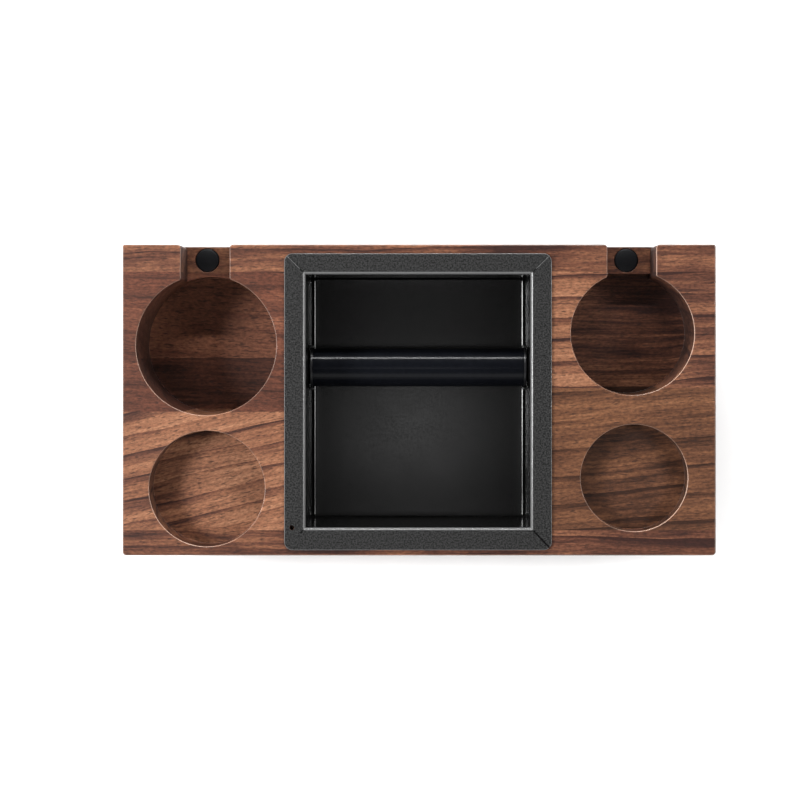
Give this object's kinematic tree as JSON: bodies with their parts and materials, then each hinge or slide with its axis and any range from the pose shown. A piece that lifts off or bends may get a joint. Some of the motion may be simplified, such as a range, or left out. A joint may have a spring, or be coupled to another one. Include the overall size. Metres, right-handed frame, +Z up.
{
  "type": "espresso knock box",
  "caption": "Glued walnut block with round pockets and rear handle notches around a lift-out black steel knock tray, with a rubber knock bar laid across it in cradles.",
  "frame": {"origin": "middle of the footprint, on the surface that the feet stand on", "axes": "+Z up, +X along the block, +Y towards the back edge with the two handle notches"},
  "size_m": [0.31, 0.1624, 0.0713],
  "materials": {
    "walnut_dark": "oiled",
    "walnut_brown": "oiled",
    "walnut_tan": "oiled",
    "powder_coat": "fine texture",
    "rubber": "satin",
    "moulded_plastic": "satin",
    "steel": "brushed"
  },
  "bodies": {
    "block": {"rear_rail": "walnut_dark", "front_rail": "walnut_brown", "left_front_stave": "walnut_tan", "left_middle_stave": "walnut_brown", "left_rear_stave": "walnut_dark", "right_front_stave": "walnut_brown", "right_middle_stave": "walnut_tan", "right_rear_stave": "walnut_tan", "left_rest": "rubber", "right_rest": "rubber", "front_left_foot": "rubber", "rear_left_foot": "rubber", "front_right_foot": "rubber", "rear_right_foot": "rubber", "front_left_foot_screw": "steel", "rear_left_foot_screw": "steel", "front_right_foot_screw": "steel", "rear_right_foot_screw": "steel"},
    "tray": {"knock_tray": "powder_coat", "left_bar_cradle": "powder_coat", "right_bar_cradle": "powder_coat"},
    "knock_bar": {"bar_core": "steel", "bar_sleeve": "rubber", "left_bar_cap": "moulded_plastic", "right_bar_cap": "moulded_plastic"}
  },
  "joints": [
    {"name": "tray_lift", "type": "slide", "parent": "block", "child": "tray", "axis": [0, 0, 1], "range_m": [0, 0.08]},
    {"name": "bar_lift", "type": "slide", "parent": "tray", "child": "knock_bar", "axis": [0, 0, 1], "range_m": [0, 0.06]}
  ]
}
